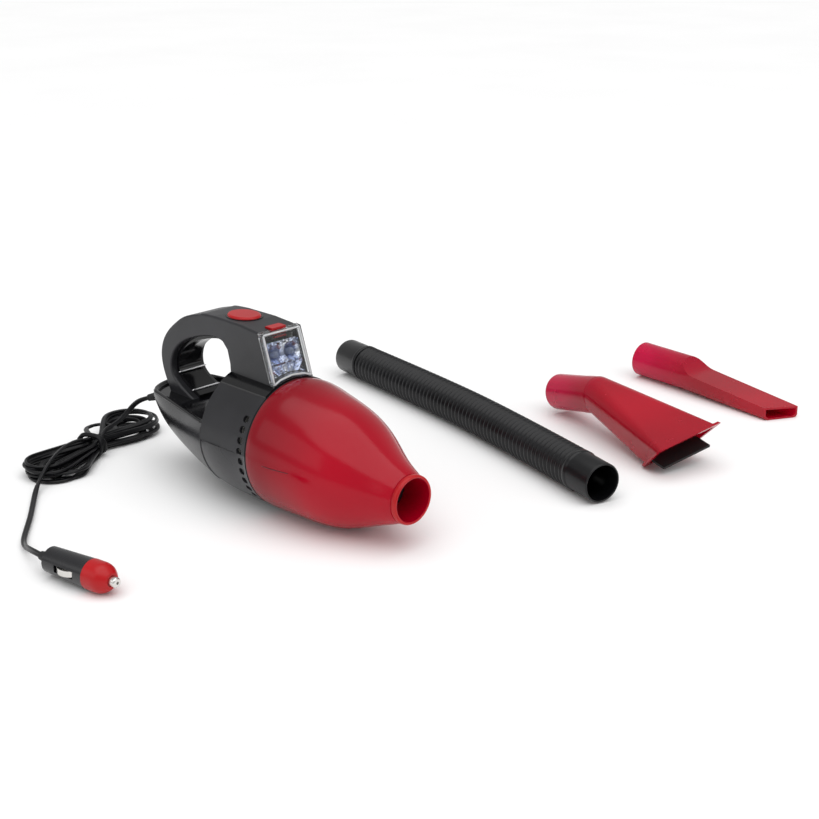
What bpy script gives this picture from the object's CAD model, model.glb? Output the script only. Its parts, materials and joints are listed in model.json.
"""Looks of the handheld car vacuum set: clear red cup, black shells, hose, nozzles, bundled cord."""

import json
import math

import bpy
import numpy as np
from mathutils import Matrix, Vector


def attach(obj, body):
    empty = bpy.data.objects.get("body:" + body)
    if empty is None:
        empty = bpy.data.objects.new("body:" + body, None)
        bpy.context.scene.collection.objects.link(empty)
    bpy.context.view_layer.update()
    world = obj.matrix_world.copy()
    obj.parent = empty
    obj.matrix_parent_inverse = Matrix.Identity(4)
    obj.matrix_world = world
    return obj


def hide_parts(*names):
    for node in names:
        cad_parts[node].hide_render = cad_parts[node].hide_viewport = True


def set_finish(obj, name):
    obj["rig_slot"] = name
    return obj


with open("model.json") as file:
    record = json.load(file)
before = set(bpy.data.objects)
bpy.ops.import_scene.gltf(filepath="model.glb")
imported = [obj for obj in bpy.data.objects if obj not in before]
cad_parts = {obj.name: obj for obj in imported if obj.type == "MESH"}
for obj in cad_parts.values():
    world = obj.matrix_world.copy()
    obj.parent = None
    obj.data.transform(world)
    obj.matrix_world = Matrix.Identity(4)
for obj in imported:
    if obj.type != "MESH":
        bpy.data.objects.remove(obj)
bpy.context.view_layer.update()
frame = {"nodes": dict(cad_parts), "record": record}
nodes = frame["nodes"]
scene = bpy.context.scene
MM = 0.001


# --- camera ----------------------------------------------------------------------------------
camera = bpy.data.objects.new("camera", bpy.data.cameras.new("camera"))
scene.collection.objects.link(camera)
camera.data.lens = 64.5
camera.data.sensor_width = 36.0
camera.data.clip_start = 0.01
camera.location = Vector((776.5, -648.3, 430.2)) * MM
camera.rotation_euler = Vector((-0.6623, 0.6686, -0.3381)).to_track_quat("-Z", "Y").to_euler()
scene.camera = camera


# --- routes of the cord and the hose, the same points as in the CAD ---------------------------
LEAD_IN = [(-141.8, -10.0, 45.9), (-149.5, -12.0, 43.2), (-158.5, -13.0, 39.0), (-166.5, -13.4, 33.0),
           (-172.5, -15.0, 26.0), (-175.0, -20.0, 20.6), (-174.5, -29.0, 18.2), (-172.8, -38.0, 16.6)]
LEAD_OUT = [(-168.8, -63.5, 16.4), (-165.5, -71.5, 17.9), (-161.0, -82.0, 18.3), (-155.5, -92.0, 17.5),
            (-149.5, -102.0, 15.5), (-144.0, -111.5, 11.5), (-138.5, -120.5, 6.2), (-130.5, -128.5, 3.0),
            (-113.0, -141.5, 2.3), (-93.0, -156.0, 2.5), (-77.0, -169.0, 2.3), (-63.5, -179.5, 2.6),
            (-49.5, -187.0, 4.6), (-35.0, -191.2, 8.4), (-25.0, -193.0, 10.2), (-17.4, -193.3, 10.65)]
HOSE_ROUTE = [(-149.0, 232.0, 16.0), (-40.0, 214.4, 16.0), (60.0, 191.2, 16.0), (148.5, 165.4, 16.0)]

# bundle: where its tie is, which way it lies, and each turn's lobes
HANK_CENTRE = Vector((-171.5, -51.0, 0.0))
HANK_TURN = math.radians(110.5)
TIE_LEVELS = (1.4, 3.7, 6.0, 8.3, 10.6)   # height of the runs under the tie, lowest first
RIGHT_LEVELS = (1.6, 4.3, 7.0, 9.7, 12.2)  # height of the loops at the right end
LEFT_LEVELS = (1.5, 3.8, 6.1, 8.3, 10.4)  # and at the left end
# level, half gap at the tie, right reach, radius and shift, left reach, radius and shift
TURNS = [(4, 7.0, 75, 19.5, 4, 63, 15.5, 8), (3, 7.0, 78, 21.5, 1, 67, 17.5, 4),
         (2, 7.0, 72, 18.5, 4, 58, 18.0, -3), (1, 7.0, 75, 20.0, -2, 64, 16.0, 6),
         (0, 7.0, 70, 20.5, 1, 66, 19.0, 1), (0, 2.3, 63, 15.0, 3, 55, 13.5, -7),
         (1, 2.3, 56, 13.5, -5, 61, 13.0, 8), (2, 2.3, 66, 14.0, 6, 51, 12.5, -9),
         (3, 2.3, 41, 12.0, 12, 63, 12.5, 11)]
ARC_STEPS = 9
LAST_GAP, LAST_Z = 1.0, 12.9   # the last run, over the top of the others
CLIMB_SHARE = 0.72             # share of a lobe's reach in which it comes to its own level


def smooth(t):
    """Eases from 0 to 1, and stays there outside that span."""
    t = min(max(t, 0.0), 1.0)
    return t * t * (3 - 2 * t)


def thirds(start, finish):
    """The two points that divide the way from start to finish in three."""
    return [(start[0] + (finish[0] - start[0]) * k / 3, start[1] + (finish[1] - start[1]) * k / 3)
            for k in (1, 2)]


def lobe(start, finish, reach, radius, shift, heading):
    """Loop from the tie out to a round end and back; heading is -1 to the left, 1 to the right."""
    centre = (heading * (reach - radius), shift)
    points = []
    for place, turn in ((start, heading), (finish, -heading)):
        run = (centre[0] - place[0], centre[1] - place[1])
        far = math.hypot(*run)
        away = math.atan2(-run[1], -run[0])
        points.append(away + turn * math.acos(min(radius / far, 1.0)))
    first, last = points
    while (last - first) * heading < 0:
        last += heading * 2 * math.pi
    steps = [first + (last - first) * k / ARC_STEPS for k in range(ARC_STEPS + 1)]
    arc = [(centre[0] + radius * math.cos(t), centre[1] + radius * math.sin(t)) for t in steps]
    return thirds(start, arc[0]) + arc + thirds(arc[-1], finish)


def climb(points, tie_z, return_z, end_z, reach):
    """Gives a lobe its heights: up from one run under the tie, and back down to the next."""
    raised = []
    for step, (along, across) in enumerate(points):
        root = return_z if step > len(points) / 2 else tie_z
        rise = smooth(abs(along) / (CLIMB_SHARE * reach))
        raised.append((along, across, root + (end_z - root) * rise))
    return raised


def hank_points():
    """All turns of the bundle, from the pass under the tie after the lead in to the last one."""
    place = Matrix.Rotation(HANK_TURN, 3, "Z")
    flat = []
    for turn, after in zip(TURNS, TURNS[1:] + [None]):
        level, gap, right, wide_r, shift_r, left, wide_l, shift_l = turn
        tie_z = TIE_LEVELS[level]
        next_gap, next_z = (after[1], TIE_LEVELS[after[0]]) if after else (LAST_GAP, LAST_Z)
        near, back, over = (0, -gap), (0, gap), (0, -next_gap)
        left_lobe = lobe(near, back, left, wide_l, shift_l, -1)
        right_lobe = lobe(back, over, right, wide_r, shift_r, 1)
        flat += [(*near, tie_z), *climb(left_lobe, tie_z, tie_z, LEFT_LEVELS[level], left)]
        flat += [(*back, tie_z), *climb(right_lobe, tie_z, next_z, RIGHT_LEVELS[level], right)]
    flat.append((0.0, -LAST_GAP, LAST_Z))
    return [HANK_CENTRE + place @ Vector(point) for point in flat]


def route_curve(name, points, resolution):
    """NURBS curve whose control points are the route's points, given in millimetres."""
    curve = bpy.data.curves.new(name, "CURVE")
    curve.dimensions = "3D"
    spline = curve.splines.new("NURBS")
    spline.points.add(len(points) - 1)
    for point, place in zip(spline.points, points):
        point.co = (*(Vector(place) * MM), 1.0)
    spline.order_u = 3
    spline.use_endpoint_u = True
    spline.resolution_u = resolution
    return bpy.data.objects.new(name, curve)


def read_line(curve_object):
    """Points of the spline itself, as a curve with no bevel gives them."""
    scene.collection.objects.link(curve_object)
    bpy.context.view_layer.update()
    mesh = bpy.data.meshes.new_from_object(curve_object)
    line = np.array([v.co for v in mesh.vertices], float)
    bpy.data.objects.remove(curve_object)
    return line


def resample(line, step):
    """The same line, its points about one step apart."""
    gaps = np.linalg.norm(np.diff(line, axis=0), axis=1)
    at = np.concatenate([[0.0], np.cumsum(gaps)])
    count = max(int(round(at[-1] / step)), 2)
    wanted = np.linspace(0, at[-1], count + 1)
    return np.stack([np.interp(wanted, at, line[:, k]) for k in range(3)], axis=1)


LEVEL_ENOUGH = 0.15   # sideways direction is trusted where the line is less steep than this
SIDE_KEPT = 0.75      # share of the last sideways direction kept at each point


def frames_along(line):
    """Tangent, sideways and upward directions, kept level where the line allows."""
    tangents = np.gradient(line, axis=0)
    tangents /= np.linalg.norm(tangents, axis=1)[:, None]
    sides = []
    last = None
    for tangent in tangents:
        side = np.cross((0.0, 0.0, 1.0), tangent)
        level = np.linalg.norm(side)
        if level > LEVEL_ENOUGH:
            side = side / level
        else:
            side = np.array((1.0, 0.0, 0.0)) if last is None else last
        if last is not None:
            side = SIDE_KEPT * last + (1 - SIDE_KEPT) * side if np.dot(last, side) > -0.5 else last
        side = side - tangent * np.dot(side, tangent)
        side /= np.linalg.norm(side)
        sides.append(side)
        last = side
    sides = np.array(sides)
    return tangents, sides, np.cross(tangents, sides)


def add_mesh(name, vertices, faces, smooth_faces=True):
    """Object made of these faces, in the scene."""
    mesh = bpy.data.meshes.new(name)
    mesh.from_pydata([tuple(v) for v in vertices], [], faces)
    mesh.validate()
    if smooth_faces:
        mesh.polygons.foreach_set("use_smooth", [True] * len(mesh.polygons))
    piece = bpy.data.objects.new(name, mesh)
    scene.collection.objects.link(piece)
    return piece


def skin(rings, loop=False):
    """Faces that join rings of equal size, with a cap at each end unless they make a loop."""
    count, size = len(rings), len(rings[0])
    faces = []
    for i in range(count if loop else count - 1):
        here, there = i * size, ((i + 1) % count) * size
        for j in range(size):
            k = (j + 1) % size
            faces.append((here + j, here + k, there + k, there + j))
    if not loop:
        faces.append(tuple(reversed(range(size))))
        faces.append(tuple((count - 1) * size + j for j in range(size)))
    return faces


def rings_to_mesh(name, rings, loop=False):
    return add_mesh(name, [v for ring in rings for v in ring], skin(rings, loop))


# --- cord ------------------------------------------------------------------------------------
CORE_R = 1.2
CORE_OFFSET = 0.92
CORE_STEPS = 8
CORD_STEP = 0.0016      # metres between rings
FLAT_BELOW = 2.4        # the cord lies flat up to this height, and rolls freely 4 mm above it
ROLL_SPAN = 4.0
ROLL_MEAN, ROLL_SWING, ROLL_RATE = 0.75, 0.55, 0.021   # radians, the last one per ring


def twin_section():
    """Two round cores side by side with a groove between them, in metres."""
    points = []
    for side in (1, -1):
        for step in range(CORE_STEPS + 1):
            angle = math.radians(-130 + 260 * step / CORE_STEPS)
            y = side * (CORE_OFFSET + CORE_R * math.cos(angle))
            z = side * CORE_R * math.sin(angle)
            points.append((y * MM, z * MM))
    return points


def swept(name, line, section):
    """The cord's skin: it rolls slowly along its way, and lies flat along the floor."""
    _, sides, ups = frames_along(line)
    rings = []
    for index, (p, side, up) in enumerate(zip(line, sides, ups)):
        lifted = smooth((p[2] / MM - FLAT_BELOW) / ROLL_SPAN)
        roll = lifted * (ROLL_MEAN + ROLL_SWING * math.sin(index * ROLL_RATE))
        across = side * math.cos(roll) + up * math.sin(roll)
        above = up * math.cos(roll) - side * math.sin(roll)
        rings.append([p + across * y + above * z for y, z in section])
    return rings_to_mesh(name, rings)


route = LEAD_IN + [tuple(p) for p in hank_points()] + LEAD_OUT
cord_line = resample(read_line(route_curve("cord_route", route, 10)), CORD_STEP)
cord = swept("cord", cord_line, twin_section())
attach(cord, "housing")
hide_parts("cord_lead_in", "cord_hank", "cord_lead_out")
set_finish(cord, "cord_black")

# --- hose ------------------------------------------------------------------------------------
HOSE_R = 16.0
HOSE_VALLEY = 14.2
HOSE_WALL = 0.9
HOSE_STEP = 0.0006      # metres between rings
RIBS = 58
AROUND = 56
CREST_POWER = 0.55      # below 1 the crests are broader than the valleys
hose_line = resample(read_line(route_curve("hose_route", HOSE_ROUTE, 90)), HOSE_STEP)


def hose_mesh():
    """Ribbed tube with its own inside, open at both ends."""
    _, sides, ups = frames_along(hose_line)
    count = len(hose_line)
    outer, inner = [], []
    for index in range(count):
        phase = 2 * math.pi * RIBS * index / (count - 1)
        crest = (0.5 - 0.5 * math.cos(phase)) ** CREST_POWER
        radius = HOSE_VALLEY + (HOSE_R - HOSE_VALLEY) * crest
        for ring, r in ((outer, radius), (inner, radius - HOSE_WALL)):
            circle = []
            for step in range(AROUND):
                angle = 2 * math.pi * step / AROUND
                offset = sides[index] * math.cos(angle) + ups[index] * math.sin(angle)
                circle.append(hose_line[index] + offset * r * MM)
            ring.append(circle)
    return rings_to_mesh("hose", outer + inner[::-1], loop=True)


hose = hose_mesh()
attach(hose, "hose")
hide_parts("hose_tube")
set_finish(hose, "hose_black")


# --- lathe and placing ------------------------------------------------------------------------
def lathe(name, profile, segments=96):
    """Closed ring of (x, radius) points turned round the X axis, in millimetres."""
    rings = []
    for x, radius in profile:
        ring = []
        for step in range(segments):
            angle = 2 * math.pi * step / segments
            ring.append(Vector((x, radius * math.cos(angle), radius * math.sin(angle))) * MM)
        rings.append(ring)
    return rings_to_mesh(name, rings, loop=True)


def placed(piece, at, turn=0.0):
    """Bakes a place in millimetres and a turn about Z in degrees into the piece's mesh."""
    turned = Matrix.Rotation(math.radians(turn), 4, "Z")
    piece.data.transform(Matrix.Translation(Vector(at) * MM) @ turned)
    return piece


CUFF_WALL = 1.6


def cuff(name, at, towards, outer):
    """Plain end of the hose with a bead where it grips the ribs."""
    inner = outer - CUFF_WALL
    profile = [(0, inner), (0, HOSE_R - 0.5), (0.5, HOSE_R + 0.1), (3.4, HOSE_R + 0.1),
               (4.2, outer + 0.2), (5.0, outer), (29.8, outer - 0.1), (30.6, outer - 0.4),
               (31, outer - 0.9), (30.8, inner + 0.2), (30, inner)]
    turn = math.degrees(math.atan2(at[1] - towards[1], at[0] - towards[0]))
    return placed(lathe(name, profile), at, turn)


inlet_cuff = cuff("hose_cuff_far", HOSE_ROUTE[0], HOSE_ROUTE[1], 15.4)
outlet_cuff = cuff("hose_cuff_near", HOSE_ROUTE[-1], HOSE_ROUTE[-2], 15.3)
for piece, node in ((inlet_cuff, "hose_inlet_cuff"), (outlet_cuff, "hose_outlet_cuff")):
    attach(piece, "hose")
    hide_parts(node)
    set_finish(piece, "hose_black")


# --- thin parts that follow a line -------------------------------------------------------------
ROD_END = 0.35   # a rod's ends are drawn in to this share of its section


def rod(name, points, wide, tall, sides_count=12, loop=False):
    """Bar of elliptic section along points in millimetres, its ends drawn in."""
    line = np.array(points, float)
    _, across, up = frames_along(line)
    last = len(line) - 1
    rings = []
    for index, (centre, side, above) in enumerate(zip(line, across, up)):
        scale = ROD_END if not loop and index in (0, last) else 1.0
        ring = []
        for step in range(sides_count):
            angle = 2 * math.pi * step / sides_count
            sideways = side * wide * math.cos(angle) * scale
            upward = above * tall * math.sin(angle) * scale
            ring.append((centre + (sideways + upward)) * MM)
        rings.append(ring)
    return rings_to_mesh(name, rings, loop=loop)


def dense(points, step=1.0):
    return resample(np.array(points, float), step)


DETAILS = []
OWN_LOOK = {}


def detail(piece, body, slot_name, look=None):
    """Small moulded feature that rides on a body, with a look of its own where it needs one."""
    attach(piece, body)
    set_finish(piece, slot_name)
    DETAILS.append(piece)
    if look:
        OWN_LOOK[piece.name] = look
    return piece


# rolled rim round the tail, a crease where the tail meets the barrel, and the barrel's seam
STERN_X, STERN_R = -92.6, 36.4
STERN_ARC = [(STERN_X - STERN_R * math.sin(math.radians(a)), STERN_R * math.cos(math.radians(a)))
             for a in range(52, 91, 3)]
rim_side = [(-33.6, 45.6), (-45.0, 43.2), (-55.0, 40.9), (-80.0, 35.4), (-105.0, 29.9), (-114.0, 28.0)]
rim_half = rim_side + [(x, y) for x, y in STERN_ARC if x < -117.0]
rim_line = [(x + (0.9 if x < -116 else 0.2), y - 1.3, 61.2) for x, y in rim_half]
rim_line += [(x, -y, z) for x, y, z in reversed(rim_line[:-1])]
detail(rod("tail_rim", dense(rim_line), 1.9, 1.5, 16), "housing", "gloss_black")
for side, tag in ((-1, "right"), (1, "left")):
    crease = []
    for step in range(25):
        angle = math.radians(11 - 62 * step / 24)
        crease.append((-32.8, side * 47.3 * math.cos(angle), 50.0 + 47.3 * math.sin(angle)))
    detail(rod("tail_crease_" + tag, crease, 0.8, 0.8), "housing", "shell_plastic")
    seam = [(x, side * 48.24, 50.0) for x in np.linspace(-31.6, 8.0, 20)]
    detail(rod("barrel_seam_" + tag, seam, 0.22, 0.22), "housing", "cord_black")

# cross ribs of the loop's lining
for index, (x, z, half) in enumerate(((-101.6, 76.6, 13.0), (-85.6, 65.6, 13.4))):
    bar = [(x, y, z) for y in np.linspace(-half, half, 12)]
    detail(rod("lining_rib_%d" % index, bar, 0.75, 0.75), "housing", "reflector_chrome", "steel_edge")

# the cup's parting line, and the ring round its mouth
CUP_RINGS = [(20, 48.3, 48.0), (40, 47.7, 47.6), (60, 45.4, 45.4), (80, 41.2, 42.8), (100, 32.4, 40.1),
             (120, 22.9, 38.4), (133, 17.3, 38.1)]


def cup_surface(x, z, side):
    """Point of the cup's outside at that x and height, on one side."""
    stations = [ring[0] for ring in CUP_RINGS]
    radius = float(np.interp(x, stations, [ring[1] for ring in CUP_RINGS]))
    centre = float(np.interp(x, stations, [ring[2] for ring in CUP_RINGS]))
    return (x, side * math.sqrt(radius ** 2 - (z - centre) ** 2), z)


for side, tag in ((-1, "right"), (1, "left")):
    line = [cup_surface(x, 49.0 - 0.9 * math.sin((x - 21) / 45 * math.pi), side)
            for x in np.linspace(21.2, 62, 30)]
    detail(rod("cup_line_" + tag, line, 0.3, 0.3), "cup", "cup_red_clear", "deep_red")
mouth_profile = [(-4.0, 16.9), (-3.6, 17.5), (-2.4, 17.75), (-0.6, 17.6), (0.25, 17.1),
                 (0.4, 16.5), (0.1, 15.9), (-0.8, 15.62), (-4.0, 15.62)]
mouth_ring = placed(lathe("mouth_ring", mouth_profile), (137.9, 0, 38.1))
detail(mouth_ring, "cup", "red_plastic")

# --- lamp ------------------------------------------------------------------------------------
LAMP_ORIGIN = Vector((11.95, 0.0, 111.1))
LAMP_OUT = Vector((0.948, 0.0, 0.32)).normalized()
LAMP_UP = Vector((-0.32, 0.0, 0.948)).normalized()
BOWL_X = 7.2
BOWL_Y = 4.0


def lamp_place(x, y, out):
    """Point of the lamp's face: across, up and out of it, in millimetres."""
    return LAMP_ORIGIN + Vector((0, x, 0)) + LAMP_UP * y + LAMP_OUT * out


def reflector_depth(x, y):
    """Two cone-shaped bowls side by side, and folds that fan out below them."""
    deepest = 0.0
    for centre in (-BOWL_X, BOWL_X):
        away = math.hypot(x - centre, y - BOWL_Y)
        deepest = max(deepest, 8.0 * (1 - away / 7.0))
    fold = 1.6 * abs(math.sin(math.atan2(x, y + 22) * 9)) if y < -4 else 0.0
    top = 1.0 * abs(math.sin(x * 0.55)) if y > 11 else 0.0
    return max(deepest, fold, top)


def faceted_reflector():
    across, up = np.linspace(-15.6, 15.6, 27), np.linspace(-14.0, 12.9, 23)
    vertices, faces = [], []
    for row, y in enumerate(up):
        for column, x in enumerate(across):
            jitter = 0.35 * math.sin(3.1 * row + 5.3 * column)
            vertices.append(lamp_place(x, y, -3.4 - reflector_depth(x, y) + 0.25 * jitter) * MM)
    width = len(across)
    for row in range(len(up) - 1):
        for column in range(width - 1):
            corner = row * width + column
            faces.append((corner, corner + 1, corner + width + 1, corner + width))
    piece = add_mesh("reflector_faceted", vertices, faces, False)
    solid = piece.modifiers.new("thickness", "SOLIDIFY")
    solid.thickness = 0.0006
    solid.offset = -1
    return piece


reflector = faceted_reflector()
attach(reflector, "housing")
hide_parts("reflector")
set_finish(reflector, "reflector_chrome")
for node, side in (("lamp_left", 1), ("lamp_right", -1)):
    profile = [(-9.5, 0.02), (-9.5, 2.6), (-4.0, 2.6), (-2.6, 2.3), (-1.4, 1.4), (-0.9, 0.02)]
    bulb = lathe(node + "_bulb", profile, 32)
    turn = Matrix.Rotation(-math.atan2(LAMP_OUT.z, LAMP_OUT.x), 4, "Y")
    spot = lamp_place(side * BOWL_X, BOWL_Y, -1.2)
    bulb.data.transform(Matrix.Translation(spot * MM) @ turn)
    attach(bulb, "housing")
    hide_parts(node)
    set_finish(bulb, "lamp_clear")
    DETAILS.append(bulb)
DETAILS.append(reflector)

# pale edge round the lens, and the dark border inside it
edge_path = [(-16.9, 19.2), (16.9, 19.2), (17.2, -16.6), (11.0, -14.2), (0.0, -12.9),
             (-11.0, -14.2), (-17.2, -16.6)]
edge_points = [tuple(lamp_place(x, y, -0.35)) for x, y in edge_path + edge_path[:1]]
detail(rod("lens_edge", dense(edge_points, 1.2), 1.0, 0.75, 10), "housing", "lens_clear", "lens_edge")
border_path = [(-15.2, 17.2), (15.2, 17.2), (15.4, -13.6), (9.0, -11.6), (0.0, -10.6),
               (-9.0, -11.6), (-15.4, -13.6)]
border_points = [tuple(lamp_place(x, y, -2.4)) for x, y in border_path + border_path[:1]]
detail(rod("lens_border", dense(border_points, 1.2), 0.55, 0.5, 8), "housing", "gloss_black")


# --- strain relief: a ribbed taper in line with the lead, from inside the stern ------------------
GLAND_START = -16.5      # from the lead's first point, along the lead
GLAND_RIBS_FROM = -11.5
GLAND_RIBS_TO = 3.5
GLAND_TIP = 5.0


def gland_radius(t):
    """Collar at the stern, then five ribs on a taper."""
    taper = 3.9 - 1.15 * (t - GLAND_RIBS_FROM) / (GLAND_TIP - GLAND_RIBS_FROM)
    ribbed = GLAND_RIBS_FROM < t < GLAND_RIBS_TO
    groove = 0.45 if ribbed and (t - GLAND_RIBS_FROM) % 3.0 > 1.7 else 0.0
    return 4.6 if t < -13.0 else taper - groove


gland_profile = [(GLAND_START, 0.05)]
gland_profile += [(t, gland_radius(t)) for t in np.arange(GLAND_START, GLAND_TIP, 0.25)]
gland_profile += [(GLAND_TIP, 2.4), (GLAND_TIP, 0.05)]
gland = lathe("strain_relief", gland_profile, 48)
lead_direction = Vector(LEAD_IN[1]) - Vector(LEAD_IN[0])
gland_turn = lead_direction.to_track_quat("X", "Z").to_matrix().to_4x4()
gland.data.transform(Matrix.Translation(Vector(LEAD_IN[0]) * MM) @ gland_turn)
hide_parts("cord_gland")
detail(gland, "housing", "rubber_black")


# --- tie -------------------------------------------------------------------------------------
TIE_STEPS = 72
TIE_SIDES = 12


def tie_loop(name, along, lean, reach, low, high, thick):
    """One wrap of the tie round the waist of the bundle."""
    rings = []
    for step in range(TIE_STEPS):
        angle = 2 * math.pi * step / TIE_STEPS
        c, s = math.cos(angle), math.sin(angle)
        across = reach * math.copysign(abs(c) ** 0.75, c)
        height = (low + high) / 2 + (high - low) / 2 * math.copysign(abs(s) ** 0.75, s)
        centre = Vector((along + lean * s, across, height))
        outward = Vector((0, c, s)).normalized()
        ring = []
        for k in range(TIE_SIDES):
            turn = 2 * math.pi * k / TIE_SIDES
            sideways = Vector((1, 0, 0)) * thick * 1.15 * math.sin(turn)
            ring.append(centre + outward * thick * math.cos(turn) + sideways)
        rings.append(ring)
    place = Matrix.Translation(HANK_CENTRE) @ Matrix.Rotation(HANK_TURN, 4, "Z")
    rings = [[(place @ v) * MM for v in ring] for ring in rings]
    return rings_to_mesh(name, rings, loop=True)


ties = [tie_loop("tie_wrap_1", -2.6, 2.2, 11.0, 1.6, 16.4, 1.6),
        tie_loop("tie_wrap_2", 1.6, -1.8, 11.4, 1.6, 16.8, 1.6)]
for piece in ties:
    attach(piece, "housing")
    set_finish(piece, "tie_black")
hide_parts("cord_tie")


# --- materials -------------------------------------------------------------------------------
def shader(name):
    """New material, its node tree and its shader."""
    material = bpy.data.materials.new(name)
    material.use_nodes = True
    tree = material.node_tree
    return material, tree, tree.nodes["Principled BSDF"]


def noise(tree, scale, octaves):
    """Noise fixed to the piece, its scale per metre."""
    place = tree.nodes.new("ShaderNodeTexCoord")
    texture = tree.nodes.new("ShaderNodeTexNoise")
    texture.inputs["Scale"].default_value = scale
    texture.inputs["Detail"].default_value = octaves
    texture.inputs["Roughness"].default_value = 0.55
    tree.links.new(place.outputs["Object"], texture.inputs["Vector"])
    return texture


RAMP_START, RAMP_END = 0.35, 0.65   # the part of the noise's range that holds most of it


def ramp(tree, source, low, high):
    """Colour that goes from low to high with the noise."""
    node = tree.nodes.new("ShaderNodeValToRGB")
    node.color_ramp.elements[0].position = RAMP_START
    node.color_ramp.elements[1].position = RAMP_END
    node.color_ramp.elements[0].color = (*low, 1)
    node.color_ramp.elements[1].color = (*high, 1)
    tree.links.new(source.outputs["Fac"], node.inputs["Fac"])
    return node


def bump(tree, source, strength, distance):
    node = tree.nodes.new("ShaderNodeBump")
    node.inputs["Strength"].default_value = strength
    node.inputs["Distance"].default_value = distance
    tree.links.new(source.outputs["Fac"], node.inputs["Height"])
    return node


def vary_roughness(tree, bsdf, source, low, high):
    node = tree.nodes.new("ShaderNodeMapRange")
    node.inputs["To Min"].default_value = low
    node.inputs["To Max"].default_value = high
    tree.links.new(source.outputs["Fac"], node.inputs["Value"])
    tree.links.new(node.outputs["Result"], bsdf.inputs["Roughness"])


def plastic(name, color, rough, grain=900, depth=0.15, coat=0.0, spread=0.25, specular=0.4):
    """Moulded plastic: fine grain, slow changes of shade, uneven gloss."""
    material, tree, bsdf = shader(name)
    slow = noise(tree, 14, 3)
    low = tuple(c * (1 - spread) for c in color)
    high = tuple(min(c * (1 + spread), 1) for c in color)
    tree.links.new(ramp(tree, slow, low, high).outputs["Color"], bsdf.inputs["Base Color"])
    vary_roughness(tree, bsdf, noise(tree, 60, 5), rough * 0.8, min(rough * 1.25, 1))
    fine = noise(tree, grain, 2)
    tree.links.new(bump(tree, fine, depth, 0.0002).outputs["Normal"], bsdf.inputs["Normal"])
    bsdf.inputs["Coat Weight"].default_value = coat
    bsdf.inputs["Coat Roughness"].default_value = 0.06
    bsdf.inputs["Specular IOR Level"].default_value = specular
    return material


ACRYLIC_IOR = 1.49


def clear(name, color, rough, transmission, coat=0.4, specular=0.5):
    """Tinted clear plastic with slight waviness and streaks of deeper colour."""
    material, tree, bsdf = shader(name)
    slow = noise(tree, 9, 2)
    low = tuple(c * 0.75 for c in color)
    tree.links.new(ramp(tree, slow, low, color).outputs["Color"], bsdf.inputs["Base Color"])
    vary_roughness(tree, bsdf, noise(tree, 40, 4), rough * 0.7, rough * 1.4)
    waves = bump(tree, noise(tree, 25, 2), 0.08, 0.0006)
    tree.links.new(waves.outputs["Normal"], bsdf.inputs["Normal"])
    bsdf.inputs["Transmission Weight"].default_value = transmission
    bsdf.inputs["IOR"].default_value = ACRYLIC_IOR
    bsdf.inputs["Specular IOR Level"].default_value = specular
    bsdf.inputs["Coat Weight"].default_value = coat
    bsdf.inputs["Coat Roughness"].default_value = 0.04
    return material


def tint_along_x(material, tint, near, far):
    """Shifts the colour towards tint where X, in metres, is below far, fully so below near."""
    tree = material.node_tree
    bsdf = tree.nodes["Principled BSDF"]
    shade = bsdf.inputs["Base Color"].links[0].from_socket
    place = tree.nodes.new("ShaderNodeTexCoord")
    split = tree.nodes.new("ShaderNodeSeparateXYZ")
    tree.links.new(place.outputs["Object"], split.inputs["Vector"])
    span = tree.nodes.new("ShaderNodeMapRange")
    span.interpolation_type = "SMOOTHSTEP"
    span.inputs["From Min"].default_value = near
    span.inputs["From Max"].default_value = far
    span.inputs["To Min"].default_value = 1.0
    span.inputs["To Max"].default_value = 0.0
    tree.links.new(split.outputs["X"], span.inputs["Value"])
    mix = tree.nodes.new("ShaderNodeMix")
    mix.data_type = "RGBA"
    tree.links.new(span.outputs["Result"], mix.inputs["Factor"])
    colour_a, colour_b = [socket for socket in mix.inputs if socket.type == "RGBA"]
    tree.links.new(shade, colour_a)
    colour_b.default_value = (*tint, 1)
    result = next(socket for socket in mix.outputs if socket.type == "RGBA")
    tree.links.new(result, bsdf.inputs["Base Color"])
    return material


def metal(name, color, rough, grain=300, depth=0.1, low=None):
    """Metal with fine grain and uneven gloss; low gives it a second colour in small patches."""
    material, tree, bsdf = shader(name)
    slow = noise(tree, 90 if low else 30, 4)
    low = low or tuple(c * 0.82 for c in color)
    tree.links.new(ramp(tree, slow, low, color).outputs["Color"], bsdf.inputs["Base Color"])
    vary_roughness(tree, bsdf, noise(tree, 120, 4), rough * 0.7, min(rough * 1.5, 1))
    fine = bump(tree, noise(tree, grain, 3), depth, 0.0002)
    tree.links.new(fine.outputs["Normal"], bsdf.inputs["Normal"])
    bsdf.inputs["Metallic"].default_value = 1.0
    return material


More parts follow.
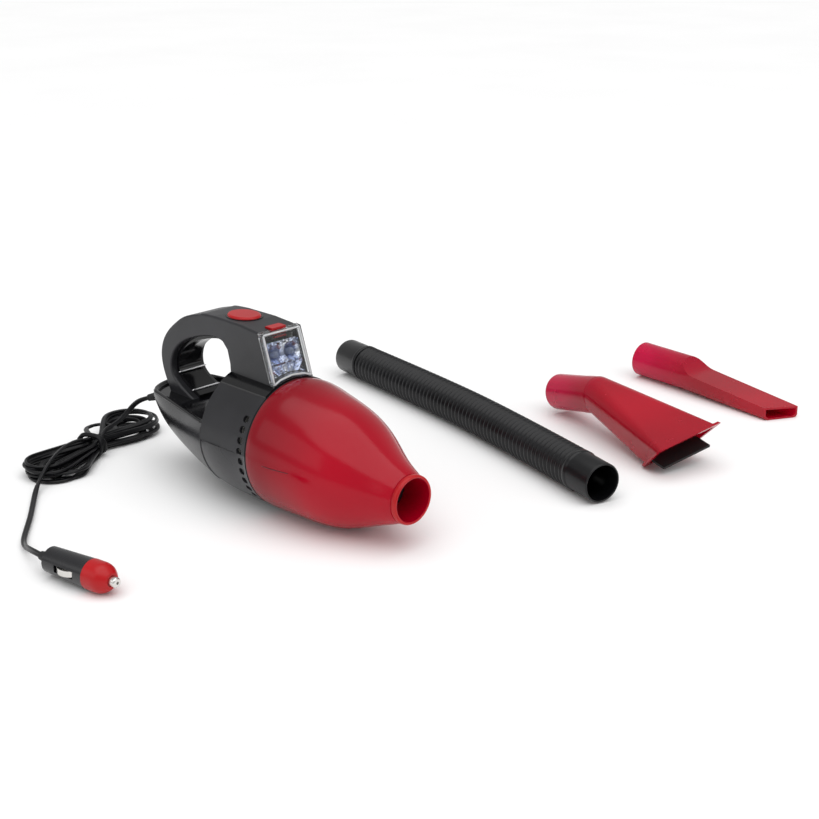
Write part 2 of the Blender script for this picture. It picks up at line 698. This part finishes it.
LOOKS = {
    "shell_plastic": plastic("shell_plastic", (0.019, 0.019, 0.022), 0.36, grain=1400, depth=0.16,
                             specular=0.36),
    "hull_black": tint_along_x(
        plastic("hull_black", (0.022, 0.022, 0.025), 0.24, grain=900, depth=0.08, specular=0.42),
        (0.003, 0.003, 0.004), -0.095, -0.03),
    "gloss_black": plastic("gloss_black", (0.0035, 0.0035, 0.0045), 0.13, grain=200, depth=0.03),
    "red_plastic": plastic("red_plastic", (0.42, 0.004, 0.007), 0.30, grain=1500, spread=0.12,
                           specular=0.3),
    "deep_red": plastic("deep_red", (0.07, 0.0, 0.004), 0.3, grain=600, depth=0.1),
    "cup_red_clear": tint_along_x(
        clear("cup_red_clear", (0.50, 0.0, 0.016), 0.17, 0.18, coat=0.0, specular=0.2),
        (0.26, 0.0, 0.008), 0.02, 0.085),
    "nozzle_red_clear": tint_along_x(
        clear("nozzle_red_clear", (0.62, 0.0, 0.022), 0.24, 0.40, coat=0.0, specular=0.2),
        (0.66, 0.0, 0.060), 0.03, 0.10),
    "lens_clear": clear("lens_clear", (0.96, 0.97, 0.98), 0.02, 1.0, coat=0.0),
    "lens_edge": clear("lens_edge", (0.93, 0.95, 0.97), 0.25, 0.35, coat=0.2),
    "lamp_clear": clear("lamp_clear", (0.55, 0.68, 1.0), 0.08, 0.4, coat=0.4),
    "reflector_chrome": metal("reflector_chrome", (0.90, 0.92, 0.96), 0.12, 60, 0.05,
                              low=(0.30, 0.37, 0.60)),
    "steel_edge": metal("steel_edge", (0.85, 0.85, 0.87), 0.35),
    "rubber_black": plastic("rubber_black", (0.010, 0.010, 0.011), 0.62, grain=700, depth=0.3),
    "steel": metal("steel", (0.60, 0.60, 0.62), 0.3),
    "motor_steel": metal("motor_steel", (0.48, 0.48, 0.50), 0.38),
    "copper": metal("copper", (0.72, 0.36, 0.20), 0.3),
    "bearing_bronze": metal("bearing_bronze", (0.58, 0.42, 0.20), 0.45),
    "magnet": metal("magnet", (0.10, 0.10, 0.11), 0.6),
    "carbon": plastic("carbon", (0.02, 0.02, 0.02), 0.6, grain=600, depth=0.3),
    "board_green": plastic("board_green", (0.02, 0.20, 0.08), 0.4, grain=300, depth=0.1),
    "inner_plastic": plastic("inner_plastic", (0.55, 0.55, 0.53), 0.5, grain=700, depth=0.2, spread=0.08),
    "filter_plastic": plastic("filter_plastic", (0.02, 0.02, 0.022), 0.3),
    "filter_cloth": plastic("filter_cloth", (0.70, 0.69, 0.64), 0.9, grain=1800, depth=0.8, spread=0.08),
    "cord_black": plastic("cord_black", (0.004, 0.004, 0.005), 0.30, grain=500, depth=0.08, specular=0.25),
    "tie_black": plastic("tie_black", (0.003, 0.003, 0.004), 0.42, grain=600, depth=0.2, specular=0.2),
    "hose_black": plastic("hose_black", (0.005, 0.005, 0.006), 0.30, grain=500, depth=0.1, specular=0.32),
    "plug_black": plastic("plug_black", (0.008, 0.008, 0.010), 0.26, grain=900, depth=0.1, coat=0.2),
    "plug_metal": metal("plug_metal", (0.75, 0.73, 0.70), 0.2),
    "fuse_glass": clear("fuse_glass", (0.88, 0.92, 0.92), 0.05, 0.9, coat=0.0),
    "wire": plastic("wire", (0.45, 0.02, 0.02), 0.4),
}

node_slots = {entry["node"]: entry["material_slot"] for entry in frame["record"]["subparts"]}
for name, piece in nodes.items():
    piece.data.materials.clear()
    piece.data.materials.append(LOOKS["hull_black" if name == "lower_hull" else node_slots[name]])
    for polygon in piece.data.polygons:
        polygon.material_index = 0
for piece in [cord, hose, inlet_cuff, outlet_cuff] + ties + DETAILS:
    piece.data.materials.append(LOOKS[OWN_LOOK.get(piece.name, piece["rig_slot"])])


# --- floor and light --------------------------------------------------------------------------
FLOOR_HALF = 80.0
corners = [(-FLOOR_HALF, -FLOOR_HALF, 0), (FLOOR_HALF, -FLOOR_HALF, 0), (FLOOR_HALF, FLOOR_HALF, 0),
           (-FLOOR_HALF, FLOOR_HALF, 0)]
floor = add_mesh("floor", corners, [(0, 1, 2, 3)], False)
floor.location.z = -0.0002
paper, paper_tree, paper_bsdf = shader("paper")
shade = ramp(paper_tree, noise(paper_tree, 3, 3), (0.94, 0.94, 0.94), (0.96, 0.96, 0.96))
paper_tree.links.new(shade.outputs["Color"], paper_bsdf.inputs["Base Color"])
paper_bsdf.inputs["Roughness"].default_value = 0.9
paper_bsdf.inputs["Specular IOR Level"].default_value = 0.1
floor.data.materials.append(paper)


def softbox(name, at, aim, size, power):
    """White rectangular light that faces a point; places in metres."""
    light = bpy.data.lights.new(name, "AREA")
    light.shape = "RECTANGLE"
    light.size, light.size_y = size
    light.energy = power
    lamp = bpy.data.objects.new(name, light)
    scene.collection.objects.link(lamp)
    lamp.location = at
    lamp.rotation_euler = (Vector(aim) - Vector(at)).to_track_quat("-Z", "Y").to_euler()


sun = bpy.data.objects.new("sky_panel", bpy.data.lights.new("sky_panel", "SUN"))
sun.data.energy = 1.75
sun.data.angle = math.radians(75)
sun.rotation_euler = (math.radians(6), math.radians(8), 0)
scene.collection.objects.link(sun)
softbox("left", (-0.6, -1.9, 1.0), (0, 0, 0.05), (1.8, 1.2), 5)
softbox("right", (1.9, 0.6, 1.2), (0, 0.1, 0.05), (1.8, 1.2), 7)
world = bpy.data.worlds.new("world")
scene.world = world
world.use_nodes = True
world.node_tree.nodes["Background"].inputs["Color"].default_value = (1, 1, 1, 1)
world.node_tree.nodes["Background"].inputs["Strength"].default_value = 0.5
scene.view_settings.view_transform = "Standard"
